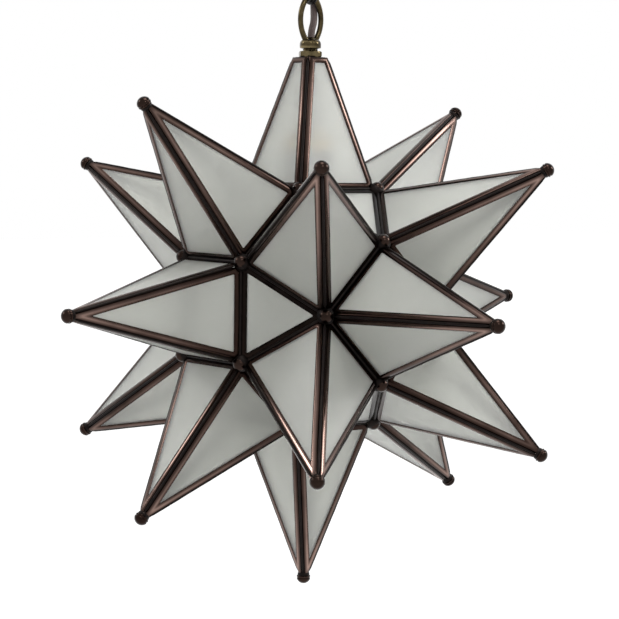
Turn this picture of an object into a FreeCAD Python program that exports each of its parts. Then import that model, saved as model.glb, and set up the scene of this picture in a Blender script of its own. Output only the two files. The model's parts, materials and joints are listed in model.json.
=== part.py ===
import FreeCAD, Part
import itertools
import math
import os

# Eighteen-pointed glass star pendant, built round a hollow core of eighteen squares and eight
# triangles.  Each square carries a four-sided glass point.  Every pane sits in its own channel
# frame, and the frames are soldered edge to edge.  The star hangs by a ring loop and one chain
# link from a ring loop under a ceiling canopy.  Z is up and the origin is on the ceiling plane.

Vector = FreeCAD.Vector

# ---------------------------------------------------------------- driving dimensions, in mm

# Glass points
base_edge = 65.2            # side of the square foot of every point
point_height = 118.4        # foot to the place where a point's four outer faces would meet
tip_cut_length = 13.4       # measured down a pane from that place to the blunt end of a point
top_point_height = 124.1    # the top point is a little steeper than the others
top_cut_length = 38.5       # and it is cut short for the hanger

# Channel frames and glass
came_thickness = 2.6        # across the channel, through the pane
came_width = 4.2            # how far the channel covers the pane
came_wall = 0.45            # sheet on each side of the glass
came_web = 1.2              # solid outer rim beyond the glass
glass_clearance = 0.05      # glass to channel, each way
seam_gap = 0.05             # frame to frame
solder_depth = 1.0          # height of the solder line in the groove of a ridge
solder_gap = 0.1            # solder line to the bottom of the groove

# Beads on the joints and buttons on the points
bead_diameter = 9.3
bead_gap = 0.1              # bead to the cut corners of the frames
button_diameter = 9.3
button_skirt = 2.3
button_dome = 3.4
button_gap = 0.1

# Parts on the threaded tube of the star
plate_thickness = 1.2
plate_gap = 0.08            # plate to the frames round it
tube_diameter = 10.2        # outside of the threaded tube
tube_bore = 6.4
tube_length = 62.0
thread_gap = 0.05           # radial, thread to thread
nut_across_flats = 14.3
nut_thickness = 3.8
neck_length = 1.8           # bare thread between the nut and the hub of the loop
seat_gap = 0.05             # between two flat faces that bear on each other

# Ring loops, the same at the star and under the canopy
hub_diameter = 14.2
hub_height = 6.0
hub_edge = 0.9              # rounding of the hub's rims
hub_floor = 2.0             # metal between the tube's end and the loop
loop_wire = 3.6
loop_half_width = 8.55      # centre line of the wire
loop_half_height = 15.1
loop_end_radius = 5.6
loop_sink = 3.8             # how deep the wire runs into the hub
cord_hole = 5.4             # hole through the hubs
boss_diameter = 9.0         # ball on the hub that the wire grows out of
boss_sink = 2.2             # the ball's middle below the hub's face

# Chain link
link_wire = 3.4
link_inner_width = 8.0
link_length = 38.0          # outside
link_gap = 0.3              # link to ring loop where they bear

# Canopy and its fixings
canopy_diameter = 127.0
canopy_depth = 24.0
canopy_wall = 1.2
canopy_rim = 5.0            # straight part of the side
canopy_flat = 30.0          # diameter of the flat underside
canopy_swell = 0.2          # how far the side bulges past a straight cone, a share
collar_diameter = 18.0
collar_height = 5.0
collar_gap = 1.0            # between the screw collar and the hub of the canopy loop
crossbar_length = 106.0
crossbar_width = 20.0
crossbar_thickness = 2.0
crossbar_corner = 5.0       # rounding of its four corners
crossbar_hole_spacing = 88.9
crossbar_hole = 5.0
stem_setback = 0.3          # the stem's end stays this far below the ceiling

# Lampholder and bulb
holder_diameter = 32.0
holder_wall = 1.8
holder_length = 32.0
holder_floor = 4.0
holder_cap_height = 10.0
holder_cap_wall = 1.2
holder_seat = 0.2           # the tube's end to the top of the holder's side
cap_shoulder = (0.7, 0.4)   # the dome's shoulder, shares of its radius and its height
cap_side_share = 0.8        # where the dome meets the straight side
cap_lining = (0.65, 0.9)    # the flat lining under the dome, shares of its radius and its height
cap_step_share = 0.5        # where the lining meets the side
shell_diameter = 27.6
shell_wall = 0.4
shell_length = 25.0
contact_diameter = 8.0
contact_height = 2.0
bulb_base_diameter = 26.0
bulb_base_length = 24.0
bulb_tip_diameter = 9.0
bulb_diameter = 60.0
bulb_length = 106.0
bulb_neck_diameter = 25.0
bulb_shoulder = 50.0        # degrees above the widest place, where the ball runs into the neck
bulb_wall = 0.8
bulb_gap = 0.3

# Hinge and catch of the bottom point, which swings open to reach the bulb
knuckle_diameter = 3.6
knuckle_length = 10.0
knuckle_gap = 0.2           # end to end
pin_diameter = 1.8
pin_gap = 0.05              # radial, in the knuckle that turns
pin_fit = 0.02              # radial, in the two knuckles that hold the pin
pin_head_diameter = 3.0
pin_head_thickness = 0.6
leaf_thickness = 0.5
leaf_width = 3.0
leaf_gap = 0.08             # solder film between a leaf and its frame
notch_gap = 0.25            # round the other leaf's knuckle
catch_width = 8.0
catch_thickness = 0.5
catch_foot = 3.6            # along the frame it is soldered to
catch_tongue = 3.6          # inside the bottom point's frame
catch_root = 1.8            # from the foot to the bend
catch_gap = 0.3
catch_lap = 0.75            # how far the tongue runs back into the bend

# Lamp cord
cord_diameter = 4.7
cord_arc_share = 0.45       # how much of the shorter run beside a corner its arc takes up

# Points of the cord's route, chosen by hand, from the tube of the star up to the canopy
cord_low_route = [
    (0.0, 0.0, -131.1), (0.1, 0.0, -115.2), (3.3, 0.5, -107.6),
    (5.9, 4.4, -98.6), (6.0, 4.8, -86.4), (5.7, 4.8, -77.74),
]
cord_high_route = [
    (5.7, 4.8, -77.74), (5.4, 4.8, -69.08), (5.6, 4.4, -56.88),
    (3.3, 0.5, -47.88), (0.1, 0.0, -40.28), (0.0, 0.0, -24.38),
]

# ---------------------------------------------------------------- sizes that follow

half_edge = base_edge / 2
wide = 1 + math.sqrt(2)
core_radius = half_edge * wide                       # star centre to the foot of a point
triangle_height = base_edge * math.sqrt(3) / 2
corner_cut = bead_diameter / 2 + bead_gap
slot_thickness = came_thickness - 2 * came_wall
glass_thickness = slot_thickness - 2 * glass_clearance


def pane_height(point):
    """Up the middle of a pane of a point of some height."""
    return math.hypot(point, half_edge)


def pane_lean(point):
    """The panes of a point of some height against its axis."""
    return math.atan2(half_edge, point)


def ridge_inset(point):
    """How far the frames stay back from a ridge, so that their inner faces just meet."""
    ridge_angle = math.pi - math.acos(math.sin(pane_lean(point)) ** 2)
    return came_thickness / math.tan(ridge_angle / 2) + seam_gap


tip_radius = core_radius + point_height - tip_cut_length * math.cos(pane_lean(point_height))
top_lean = pane_lean(top_point_height)
top_rim = core_radius + top_point_height - top_cut_length * math.cos(top_lean)
top_opening = half_edge * top_cut_length / pane_height(top_point_height) - came_thickness * math.cos(top_lean)

loop_bar = loop_wire / 2
link_bar = link_wire / 2
loop_outer_height = 2 * (loop_half_height + loop_bar)
link_pitch = link_length - link_wire

# Heights above the star's centre
plate_low = top_rim - plate_thickness
nut_low = top_rim + seat_gap
hub_low = nut_low + nut_thickness + neck_length
loop_low = hub_low + hub_height - loop_sink
loop_middle = loop_low + loop_outer_height / 2
loop_inner_top = loop_middle + loop_half_height - loop_bar

# Heights in the row's frame, down from the ceiling
canopy_low = -canopy_depth
collar_high = canopy_low - seat_gap
high_hub_high = collar_high - collar_height - collar_gap
high_loop_high = high_hub_high - hub_height + loop_sink
high_loop_middle = high_loop_high - loop_outer_height / 2
canopy_pivot = high_loop_middle - loop_half_height
link_high = canopy_pivot + loop_bar + link_gap + link_bar
link_low = link_high - link_pitch
star_z = link_low + link_bar + link_gap - loop_inner_top
star_centre = Vector(0, 0, star_z)

holder_top = star_z + hub_low + hub_height - hub_floor - tube_length
holder_high = holder_top + holder_seat
bulb_gap_top = holder_high - holder_cap_height - holder_floor - contact_height - bulb_gap

# ---------------------------------------------------------------- the star's corners

signs = (1, -1)
star_corners = [
    Vector(x, y, z * wide) * half_edge for x, y, z in itertools.product(signs, repeat=3)
] + [
    Vector(x * wide, y, z) * half_edge for x, y, z in itertools.product(signs, repeat=3)
] + [
    Vector(x * math.sqrt(2), y * wide, 0) * half_edge for x, y in itertools.product(signs, repeat=2)
] + [
    Vector(0, y * wide, z * math.sqrt(2)) * half_edge for y, z in itertools.product(signs, repeat=2)
]

point_axes = {
    "top": Vector(0, 0, 1),
    "bottom": Vector(0, 0, -1),
    "right": Vector(1, 0, 0),
    "left": Vector(-1, 0, 0),
    "front": Vector(0, -1, 0),
    "back": Vector(0, 1, 0),
}
for tall, rise in (("upper", 1), ("lower", -1)):
    for side, across in (("right", 1), ("left", -1)):
        point_axes[f"{tall}_{side}"] = Vector(across, 0, rise).normalize()
        for face, deep in (("front", -1), ("back", 1)):
            axis = Vector(across, deep * math.sqrt(2), rise)
            point_axes[f"{tall}_{face}_{side}"] = axis.normalize()

triangle_axes = [Vector(0, y, z * math.sqrt(2)).normalize() for y, z in itertools.product(signs, repeat=2)]
triangle_axes += [Vector(x * math.sqrt(2), y, 0).normalize() for x, y in itertools.product(signs, repeat=2)]


def corners_round(axis, count):
    """The star's corners nearest to an axis, in order round it."""
    near = sorted(star_corners, key=lambda corner: -corner.dot(axis))[:count]
    first = near[0] - axis * near[0].dot(axis)
    second = axis.cross(first)
    return sorted(near, key=lambda corner: math.atan2(corner.dot(second), corner.dot(first)))


# ---------------------------------------------------------------- outlines of panes

def cut_back(outline, direction, limit):
    """The part of a convex outline that lies no further than limit along a direction."""
    kept = []
    for start, end in zip(outline, outline[1:] + outline[:1]):
        start_over = start[0] * direction[0] + start[1] * direction[1] - limit
        end_over = end[0] * direction[0] + end[1] * direction[1] - limit
        if start_over <= 0:
            kept.append(start)
        if start_over * end_over < 0:
            share = start_over / (start_over - end_over)
            kept.append((start[0] + share * (end[0] - start[0]), start[1] + share * (end[1] - start[1])))
    return kept


def pane_outline(height, side_inset, summit_cut, inset, cut_corners):
    """A triangle on the base edge, drawn in by an inset and cut off at its corners.

    The base edge lies along the first axis, and the second axis runs up the middle.
    """
    slope = math.hypot(height, half_edge)
    outline = [(-base_edge, -height), (base_edge, -height), (base_edge, 2 * height), (-base_edge, 2 * height)]
    outline = cut_back(outline, (0, -1), -seam_gap - inset)
    outline = cut_back(outline, (0, 1), height - summit_cut - inset)
    for side in signs:
        outward = (side * height / slope, half_edge / slope)
        outline = cut_back(outline, outward, half_edge * height / slope - side_inset - inset)
        if cut_corners:
            half_angle = math.atan2(height, half_edge) / 2
            away = (side * math.cos(half_angle), -math.sin(half_angle))
            outline = cut_back(outline, away, half_edge * math.cos(half_angle) - corner_cut - inset)
    return outline


def slab(outline, low, high):
    """A flat plate with an outline, between two heights."""
    corners = [Vector(u, v, low) for u, v in outline]
    face = Part.Face(Part.makePolygon(corners + corners[:1]))
    return face.extrude(Vector(0, 0, high - low))


def channel_frame(height, side_inset, summit_cut):
    """A closed channel frame whose outer face lies at height zero and whose slot holds a pane."""
    rim = pane_outline(height, side_inset, summit_cut, 0, True)
    slot = pane_outline(height, side_inset, summit_cut, came_web, True)
    window = pane_outline(height, side_inset, summit_cut, came_width, False)
    frame = slab(rim, -came_thickness, 0)
    frame = frame.cut(slab(window, -2 * came_thickness, came_thickness))
    return frame.cut(slab(slot, -came_thickness + came_wall, -came_wall))


def glass_pane(height, side_inset, summit_cut):
    """The pane that fills a channel frame's slot."""
    outline = pane_outline(height, side_inset, summit_cut, came_web + glass_clearance, True)
    middle = -came_thickness / 2
    return slab(outline, middle - glass_thickness / 2, middle + glass_thickness / 2)


def stood_on(shape, start, end, summit):
    """A copy of a shape drawn on a pane's plane, set on a foot line and leaning to a summit."""
    middle = (start + end) * 0.5
    along = (end - start).normalize()
    up = (summit - middle).normalize()
    outward = along.cross(up)
    place = FreeCAD.Matrix(
        along.x, up.x, outward.x, middle.x,
        along.y, up.y, outward.y, middle.y,
        along.z, up.z, outward.z, middle.z,
        0, 0, 0, 1,
    )
    copy = shape.copy()
    copy.Placement = FreeCAD.Placement(place)
    copy.translate(star_centre)
    return copy


# ---------------------------------------------------------------- points of the star

def solder_line(corner, summit, normals, end_cut):
    """The solder in the groove between two frames, from the bead to the button."""
    ridge = (summit - corner).normalize()
    outward = (normals[0] + normals[1]).normalize()
    depth = came_thickness / outward.dot(normals[0])
    start = corner + ridge * (corner_cut + came_thickness)
    root = start - outward * (depth - solder_gap)
    rim = [root, root + normals[0] * solder_depth, root + normals[1] * solder_depth]
    length = (summit - corner).Length - corner_cut - came_thickness - end_cut
    line = Part.Face(Part.makePolygon(rim + rim[:1])).extrude(ridge * length)
    line.translate(star_centre)
    return line


def point_parts(axis, height, cut_length):
    """The four frames, four solder lines and four panes of one point."""
    feet = corners_round(axis, 4)
    summit = axis * (core_radius + height)
    frame = channel_frame(pane_height(height), ridge_inset(height), cut_length)
    pane = glass_pane(pane_height(height), ridge_inset(height), cut_length)
    frames = []
    panes = []
    normals = []
    for start, end in zip(feet, feet[1:] + feet[:1]):
        frames.append(stood_on(frame, start, end, summit))
        panes.append(stood_on(pane, start, end, summit))
        normals.append((end - start).cross(summit - start).normalize())
    ridge_length = (summit - feet[0]).Length
    end_cut = cut_length * ridge_length / pane_height(height) + came_thickness
    for index, corner in enumerate(feet):
        frames.append(solder_line(corner, summit, (normals[index - 1], normals[index]), end_cut))
    return frames, panes


def triangle_parts(frame, pane):
    """The flat panes and their frames, one on each triangle of the core."""
    frames = []
    panes = []
    for axis in triangle_axes:
        start, end, summit = corners_round(axis, 3)
        frames.append(stood_on(frame, start, end, summit))
        panes.append(stood_on(pane, start, end, summit))
    return frames, panes


def turned(profile):
    """A solid turned about Z from a closed outline of (radius, height) points."""
    corners = [Vector(radius, 0, height) for radius, height in profile]
    face = Part.Face(Part.makePolygon(corners + corners[:1]))
    return face.revolve(Vector(0, 0, 0), Vector(0, 0, 1), 360)


def tip_button(axis):
    """A domed button seated on the blunt end of a point."""
    radius = button_diameter / 2
    dome_radius = (radius ** 2 + button_dome ** 2) / (2 * button_dome)
    dome_middle = button_skirt + button_dome - dome_radius
    skirt = Part.makeCylinder(radius, button_skirt + button_dome)
    button = skirt.common(Part.makeSphere(dome_radius, Vector(0, 0, dome_middle)))
    button = button.fuse(Part.makeCylinder(radius, button_skirt)).removeSplitter()
    button.Placement = FreeCAD.Placement(
        star_centre + axis * (tip_radius + button_gap), FreeCAD.Rotation(Vector(0, 0, 1), axis)
    )
    return button


# ---------------------------------------------------------------- rings, link and hubs

def bent_bar(start, heading, normal, moves, radius):
    """A round bar that runs straight and bends in one plane, as one solid."""
    pieces = []
    for length, bend_radius, turn in moves:
        section = Part.Face(Part.Wire(Part.makeCircle(radius, start, heading)))
        if turn == 0:
            pieces.append(section.extrude(heading * length))
            start = start + heading * length
        else:
            centre = start + normal.cross(heading) * bend_radius
            pieces.append(section.revolve(centre, normal, turn))
            spin = FreeCAD.Rotation(normal, turn)
            start = centre + spin.multVec(start - centre)
            heading = spin.multVec(heading)
    bar = pieces[0].multiFuse(pieces[1:])
    return bar.removeSplitter()


def oval_ring(middle):
    """The oval wire ring of a ring loop, standing in the XZ plane."""
    rise = loop_half_height - loop_end_radius
    flare = loop_half_width - loop_end_radius
    side_radius = (rise ** 2 + flare ** 2) / (2 * flare) + loop_end_radius
    side_turn = math.degrees(math.atan2(rise, side_radius - loop_half_width)) * 2
    end_turn = 180 - side_turn
    moves = [(0, side_radius, side_turn), (0, loop_end_radius, end_turn)] * 2
    angle = math.radians(side_turn / 2)
    start = Vector(
        side_radius * math.cos(angle) - side_radius + loop_half_width, 0, -side_radius * math.sin(angle)
    )
    heading = Vector(math.sin(angle), 0, math.cos(angle))
    ring = bent_bar(start, heading, Vector(0, -1, 0), moves, loop_bar)
    ring.translate(Vector(0, 0, middle))
    return ring


def hub_body(low, ball_middle):
    """The turned hub of a ring loop, with a ball that the wire grows out of."""
    hub = Part.makeCylinder(hub_diameter / 2, hub_height, Vector(0, 0, low))
    hub = hub.makeFillet(hub_edge, [edge for edge in hub.Edges if edge.Length > hub_diameter])
    return hub.fuse(Part.makeSphere(boss_diameter / 2, Vector(0, 0, ball_middle)))


def star_loop():
    """The ring loop on top of the star, screwed on the threaded tube."""
    low = star_z + hub_low
    high = low + hub_height
    tube_room_height = boss_diameter + hub_height - hub_floor
    tube_room_low = Vector(0, 0, low - boss_diameter)
    tube_room = Part.makeCylinder(tube_diameter / 2 + thread_gap, tube_room_height, tube_room_low)
    cord_room = Part.makeCylinder(cord_hole / 2, hub_height + boss_diameter, Vector(0, 0, low))
    hub = hub_body(low, high - boss_sink).cut(tube_room).cut(cord_room)
    return hub.fuse(oval_ring(star_z + loop_middle).cut(tube_room).cut(cord_room))


def canopy_loop():
    """The ring loop under the canopy, with the threaded stem that holds it to the crossbar."""
    high = high_hub_high
    low = high - hub_height
    stem = Part.makeCylinder(tube_diameter / 2, -stem_setback - high, Vector(0, 0, high))
    cord_room = Part.makeCylinder(cord_hole / 2, -low + boss_diameter, Vector(0, 0, low - boss_diameter))
    hub = hub_body(low, low + boss_sink).fuse(stem).cut(cord_room)
    return hub.fuse(oval_ring(high_loop_middle).cut(cord_room))


def chain_link():
    """One chain link, standing in the YZ plane."""
    bend = link_inner_width / 2 + link_bar
    straight = link_pitch - 2 * bend
    moves = [(straight, 0, 0), (0, bend, 180)] * 2
    start = Vector(0, -bend, link_low + bend)
    return bent_bar(start, Vector(0, 0, 1), Vector(-1, 0, 0), moves, link_bar)


# ---------------------------------------------------------------- hanger of the star

def pierced_plate():
    """The square plate that closes the cut top point, let in between its frames."""
    low = star_z + plate_low
    half = top_opening - plate_gap
    plate = Part.makeBox(2 * half, 2 * half, plate_thickness, Vector(-half, -half, low))
    return plate.cut(Part.makeCylinder(tube_diameter / 2 + thread_gap, plate_thickness, Vector(0, 0, low)))


def hex_nut():
    """The lock nut on the threaded tube."""
    low = star_z + nut_low
    corner = nut_across_flats / 2 / math.cos(math.pi / 6)
    rim = [Vector(corner, 0, low)]
    for step in range(1, 6):
        turn = step * math.pi / 3
        rim.append(Vector(corner * math.cos(turn), corner * math.sin(turn), low))
    nut = Part.Face(Part.makePolygon(rim + rim[:1])).extrude(Vector(0, 0, nut_thickness))
    return nut.cut(Part.makeCylinder(tube_diameter / 2 + thread_gap, nut_thickness, Vector(0, 0, low)))


def threaded_tube():
    """The tube that carries the lampholder, the plate, the nut and the ring loop."""
    high = star_z + hub_low + hub_height - hub_floor - seat_gap
    tube = Part.makeCylinder(tube_diameter / 2, tube_length, Vector(0, 0, high - tube_length))
    return tube.cut(Part.makeCylinder(tube_bore / 2, tube_length, Vector(0, 0, high - tube_length)))


# ---------------------------------------------------------------- lampholder and bulb

def holder_cap():
    """The domed cap of the lampholder, screwed on the tube's lower end."""
    radius = holder_diameter / 2
    high = holder_high + holder_cap_height / 2
    low = holder_high - holder_cap_height
    bore = tube_diameter / 2 + thread_gap
    lining = low + holder_cap_height * cap_lining[1]
    outline = [
        (bore, high), (bore + holder_cap_wall, high),
        (radius * cap_shoulder[0], high - holder_cap_height * cap_shoulder[1]),
        (radius, high - holder_cap_height * cap_side_share), (radius, low),
        (radius - holder_cap_wall, low), (radius - holder_cap_wall, low + holder_cap_height * cap_step_share),
        (radius * cap_lining[0], lining), (bore, lining),
    ]
    return turned(outline)


def holder_body():
    """The insulating cup of the lampholder."""
    radius = holder_diameter / 2
    high = holder_high - holder_cap_height - seat_gap
    low = high - holder_length
    inner = radius - holder_wall
    hole = contact_diameter / 2 + seat_gap
    profile = [
        (hole, high), (radius, high), (radius, low), (inner, low), (inner, high - holder_floor),
        (hole, high - holder_floor),
    ]
    return turned(profile)


def screw_shell():
    """The screw shell and the centre contact of the lampholder, two solids."""
    high = holder_high - holder_cap_height - holder_floor - 2 * seat_gap
    radius = shell_diameter / 2
    shell = Part.makeCylinder(radius, shell_length, Vector(0, 0, high - shell_length))
    shell = shell.cut(Part.makeCylinder(radius - shell_wall, shell_length, Vector(0, 0, high - shell_length)))
    stud_height = contact_height + holder_floor
    stud = Part.makeCylinder(contact_diameter / 2, stud_height, Vector(0, 0, high - contact_height))
    return [shell, stud]


def bulb_base():
    """The screw base of the bulb, with its centre contact."""
    high = bulb_gap_top
    radius = bulb_base_diameter / 2
    tip = bulb_tip_diameter / 2
    low = high - bulb_base_length
    profile = [(0, high), (tip, high), (radius, high - contact_height), (radius, low), (0, low)]
    return turned(profile)


def bulb_profile(radius, neck, low):
    """Edges of a bulb's outline from its lowest point up to its neck, and the height of the neck."""
    middle = low + radius
    swing = math.radians(bulb_shoulder)
    side = Vector(radius * math.cos(swing), 0, middle + radius * math.sin(swing))
    waist = Vector(radius, 0, middle)
    top = Vector(neck, 0, bulb_gap_top - bulb_base_length - seat_gap)
    bottom = Vector(0, 0, low)
    lower = Vector(radius * math.cos(math.pi / 4), 0, middle - radius * math.sin(math.pi / 4))
    upper = Vector(radius * math.cos(swing / 2), 0, middle + radius * math.sin(swing / 2))
    edges = [
        Part.Arc(bottom, lower, waist).toShape(),
        Part.Arc(waist, upper, side).toShape(),
        Part.LineSegment(side, top).toShape(),
    ]
    return edges, top


def bulb_glass():
    """The hollow glass of the bulb."""
    low = bulb_gap_top - bulb_length
    radius = bulb_diameter / 2
    neck = bulb_neck_diameter / 2
    outer, outer_top = bulb_profile(radius, neck, low)
    inner, inner_top = bulb_profile(radius - bulb_wall, neck - bulb_wall, low + bulb_wall)
    closing = [
        Part.LineSegment(outer_top, inner_top).toShape(),
        Part.LineSegment(Vector(0, 0, low), Vector(0, 0, low + bulb_wall)).toShape(),
    ]
    wire = Part.Wire(Part.__sortEdges__(outer + inner + closing))
    return Part.Face(wire).revolve(Vector(0, 0, 0), Vector(0, 0, 1), 360)


# ---------------------------------------------------------------- canopy

def canopy_shell():
    """The spun ceiling canopy, a shallow cup with its rim on the ceiling."""
    rim = canopy_diameter / 2
    flat = canopy_flat / 2
    bore = tube_diameter / 2 + thread_gap

    def half_section(wall):
        side = rim - wall
        foot = -canopy_rim
        low = -canopy_depth + wall
        bulge_radius = (side + flat) / 2 + (side - flat) * canopy_swell
        bulge_height = (foot + low) / 2 - (foot - low) * canopy_swell
        swell = Vector(bulge_radius, 0, bulge_height)
        return [
            Part.LineSegment(Vector(side, 0, 0), Vector(side, 0, foot)).toShape(),
            Part.Arc(Vector(side, 0, foot), swell, Vector(flat, 0, low)).toShape(),
            Part.LineSegment(Vector(flat, 0, low), Vector(bore, 0, low)).toShape(),
        ]

    inside = canopy_wall - canopy_depth
    ends = [
        Part.LineSegment(Vector(rim, 0, 0), Vector(rim - canopy_wall, 0, 0)).toShape(),
        Part.LineSegment(Vector(bore, 0, -canopy_depth), Vector(bore, 0, inside)).toShape(),
    ]
    wire = Part.Wire(Part.__sortEdges__(half_section(0) + half_section(canopy_wall) + ends))
    return Part.Face(wire).revolve(Vector(0, 0, 0), Vector(0, 0, 1), 360)


def screw_collar():
    """The threaded ring that clamps the canopy up to the ceiling."""
    low = collar_high - collar_height
    ring = Part.makeCylinder(collar_diameter / 2, collar_height, Vector(0, 0, low))
    ring = ring.makeFillet(hub_edge, [edge for edge in ring.Edges if edge.Length > collar_diameter])
    return ring.cut(Part.makeCylinder(tube_diameter / 2 + thread_gap, collar_height, Vector(0, 0, low)))


def crossbar():
    """The flat bar that is screwed to the ceiling box and holds the stem."""
    low = -crossbar_thickness
    start = Vector(-crossbar_length / 2, -crossbar_width / 2, low)
    bar = Part.makeBox(crossbar_length, crossbar_width, crossbar_thickness, start)
    upright = [edge for edge in bar.Edges if edge.Length < 2 * crossbar_thickness]
    bar = bar.makeFillet(crossbar_corner, upright)
    bar = bar.cut(Part.makeCylinder(tube_diameter / 2 + thread_gap, crossbar_thickness, Vector(0, 0, low)))
    for side in signs:
        middle = Vector(side * crossbar_hole_spacing / 2, 0, low)
        bar = bar.cut(Part.makeCylinder(crossbar_hole / 2, crossbar_thickness, middle))
    return bar


# ---------------------------------------------------------------- hinge and catch

hinge_axis = Vector(1, 0, 0)
back_feet = (Vector(half_edge, half_edge, -core_radius), Vector(-half_edge, half_edge, -core_radius))
front_feet = (Vector(-half_edge, -half_edge, -core_radius), Vector(half_edge, -half_edge, -core_radius))
bottom_summit = Vector(0, 0, -core_radius - point_height)
back_summit = Vector(0, core_radius, -math.sqrt(2) * half_edge)
front_summit = Vector(0, -core_radius, -math.sqrt(2) * half_edge)


def outward_of(feet, summit):
    """The outward direction of the pane that stands on two corners and leans to a summit."""
    normal = (feet[1] - feet[0]).cross(summit - feet[0]).normalize()
    return normal if normal.dot(feet[0]) > 0 else normal * -1


def hinge_middle():
    """Where the hinge pin crosses the middle of the star, in the groove behind the bottom point."""
    hatch = outward_of(back_feet, bottom_summit)
    wall = outward_of(back_feet, back_summit)
    half_sum = (hatch + wall).normalize()
    reach = (knuckle_diameter / 2 + leaf_gap) / half_sum.dot(hatch)
    edge = (back_feet[0] + back_feet[1]) * 0.5
    return star_centre + edge + half_sum * reach


def leaf_plate(feet, summit):
    """A hinge leaf lying on the foot strip of a frame, with its long side at the pin."""
    normal = outward_of(feet, summit)
    edge = (feet[0] + feet[1]) * 0.5
    up = (summit - edge).normalize()
    pin_foot = (hinge_middle() - star_centre - edge).dot(up)
    half = 1.5 * knuckle_length + knuckle_gap
    low = star_centre + edge + up * pin_foot + normal * leaf_gap - hinge_axis * half
    rim = [
        low,
        low + up * leaf_width,
        low + up * leaf_width + normal * leaf_thickness,
        low + normal * leaf_thickness,
    ]
    return Part.Face(Part.makePolygon(rim + rim[:1])).extrude(hinge_axis * (2 * half))


def knuckle(start, length, radius):
    """A cylinder on the hinge pin's line, from a distance along it."""
    return Part.makeCylinder(radius, length, hinge_middle() + hinge_axis * start, hinge_axis)


def hatch_leaf():
    """The hinge leaf on the bottom point, with the middle knuckle."""
    half = knuckle_length / 2
    radius = knuckle_diameter / 2
    leaf = leaf_plate(back_feet, bottom_summit)
    for start in (-half - knuckle_gap - 2 * knuckle_length, half):
        leaf = leaf.cut(knuckle(start, 2 * knuckle_length + knuckle_gap, radius + notch_gap))
    leaf = leaf.fuse(knuckle(-half, knuckle_length, radius))
    bore = knuckle(-half, knuckle_length, pin_diameter / 2 + pin_gap)
    return leaf.cut(bore).removeSplitter()


def star_leaf():
    """The hinge leaf on the star, with the two outer knuckles."""
    half = knuckle_length / 2
    radius = knuckle_diameter / 2
    leaf = leaf_plate(back_feet, back_summit)
    leaf = leaf.cut(knuckle(-half - knuckle_gap, knuckle_length + 2 * knuckle_gap, radius + notch_gap))
    for start in (-half - knuckle_gap - knuckle_length, half + knuckle_gap):
        leaf = leaf.fuse(knuckle(start, knuckle_length, radius))
        leaf = leaf.cut(knuckle(start, knuckle_length, pin_diameter / 2 + pin_fit))
    return leaf.removeSplitter()


def hinge_pin():
    """The hinge pin with a head at each end."""
    half = 1.5 * knuckle_length + knuckle_gap
    pin = knuckle(-half, 2 * half, pin_diameter / 2)
    for start in (-half - seat_gap - pin_head_thickness, half + seat_gap):
        pin = pin.fuse(knuckle(start, pin_head_thickness, pin_head_diameter / 2))
        pin = pin.fuse(knuckle(min(start, half), pin_head_thickness + seat_gap, pin_diameter / 2))
    return pin.removeSplitter()


def spring_catch():
    """The bent spring strip on the star that grips the front frame of the bottom point."""
    half = catch_width / 2
    foot_high = -came_thickness - leaf_gap
    tongue_high = -came_thickness - catch_gap
    foot = slab(
        [(-half, -catch_root), (half, -catch_root), (half, catch_foot), (-half, catch_foot)],
        foot_high - catch_thickness, foot_high,
    )
    tongue = slab(
        [(-half, -catch_lap), (half, -catch_lap), (half, catch_tongue), (-half, catch_tongue)],
        tongue_high - catch_thickness, tongue_high,
    )
    foot = stood_on(foot, front_feet[1], front_feet[0], front_summit)
    tongue = stood_on(tongue, front_feet[0], front_feet[1], bottom_summit)
    return foot.fuse(tongue).removeSplitter()


# ---------------------------------------------------------------- lamp cord

def cord_tube(route, label):
    """A tube of straight runs joined by tangent arcs, along the points of a route."""
    points = [Vector(*point) for point in route]
    edges = []
    radii = []
    place = points[0]
    for before, corner, after in zip(points, points[1:], points[2:]):
        back = before - corner
        ahead = after - corner
        half_turn = (math.pi - back.getAngle(ahead)) / 2
        shorter = min(back.Length, ahead.Length)
        radius = cord_arc_share * shorter / math.tan(half_turn)
        reach = radius * math.tan(half_turn)
        back.normalize()
        ahead.normalize()
        arc_start = corner + back * reach
        arc_end = corner + ahead * reach
        inward = (back + ahead).normalize()
        arc_middle = corner + inward * (radius / math.cos(half_turn) - radius)
        edges.append(Part.LineSegment(place, arc_start).toShape())
        edges.append(Part.Arc(arc_start, arc_middle, arc_end).toShape())
        radii.append(radius)
        place = arc_end
    edges.append(Part.LineSegment(place, points[-1]).toShape())
    path = Part.Wire(edges)
    section = Part.Wire(Part.makeCircle(cord_diameter / 2, points[0], points[1] - points[0]))
    tube = path.makePipeShell([section], True, False)
    expected = math.pi * cord_diameter ** 2 / 4 * path.Length
    print(f"{label}: length {path.Length:.1f} mm, volume ratio {tube.Volume / expected:.4f},",
          "radii", ", ".join(f"{radius:.0f}" for radius in radii))
    return tube


# ---------------------------------------------------------------- all nodes

def star_nodes():
    """Every node of the star: name and its list of solids."""
    nodes = {}
    for name, axis in point_axes.items():
        if name == "top":
            frames, panes = point_parts(axis, top_point_height, top_cut_length)
        else:
            frames, panes = point_parts(axis, point_height, tip_cut_length)
        nodes[f"{name}_point_frames"] = frames
        nodes[f"{name}_point_glass"] = panes
    flat_frame = channel_frame(triangle_height, seam_gap, corner_cut)
    flat_pane = glass_pane(triangle_height, seam_gap, corner_cut)
    nodes["triangle_frames"], nodes["triangle_glass"] = triangle_parts(flat_frame, flat_pane)
    beads = [Part.makeSphere(bead_diameter / 2, star_centre + corner) for corner in star_corners]
    buttons = [tip_button(axis) for name, axis in point_axes.items() if name not in ("top", "bottom")]
    nodes["beads_and_buttons"] = beads + buttons
    nodes["bottom_tip_button"] = [tip_button(point_axes["bottom"])]
    return nodes


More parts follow.
